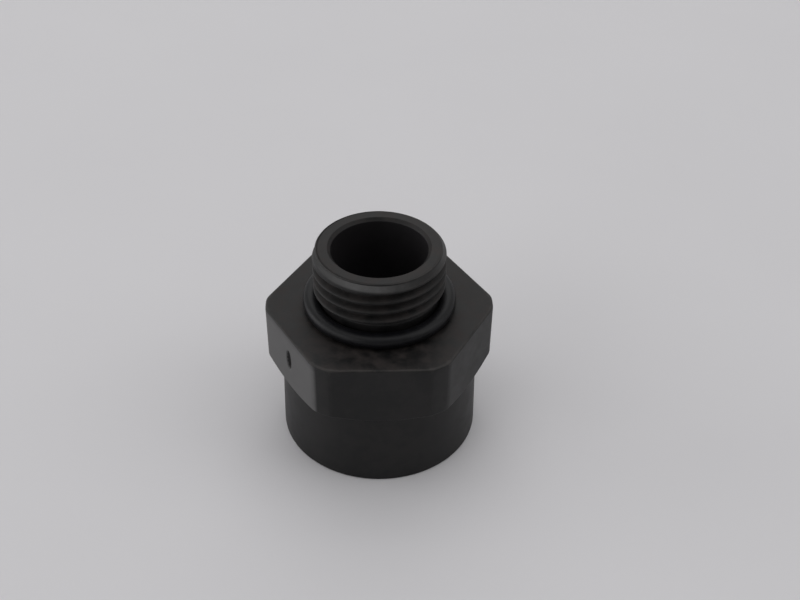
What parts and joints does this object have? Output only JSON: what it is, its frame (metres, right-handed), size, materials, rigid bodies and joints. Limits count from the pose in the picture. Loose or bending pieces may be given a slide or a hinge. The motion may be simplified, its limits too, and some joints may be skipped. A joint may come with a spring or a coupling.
{
  "type": "hex reducing adapter",
  "caption": "Black plastic hex pipe adapter: male-threaded spigot with an O-ring, hexagon for a spanner, and a wider round collar with a female-threaded socket.",
  "frame": {"origin": "centre of the socket's end face, which is the bottom of the part", "axes": "+Z along the axis, from the female socket to the male spigot; two corners of the hexagon lie on the X axis, and two flats face +Y and -Y"},
  "size_m": [0.0364, 0.033, 0.0348],
  "materials": {
    "body_plastic": "matte black moulded plastic with a faint sheen",
    "o_ring_rubber": "smooth black seal rubber",
    "washer_rubber": "matt black seal rubber"
  },
  "bodies": {
    "root": {"hex_body": "body_plastic", "o_ring_seal": "o_ring_rubber", "socket_washer": "washer_rubber"}
  },
  "joints": []
}
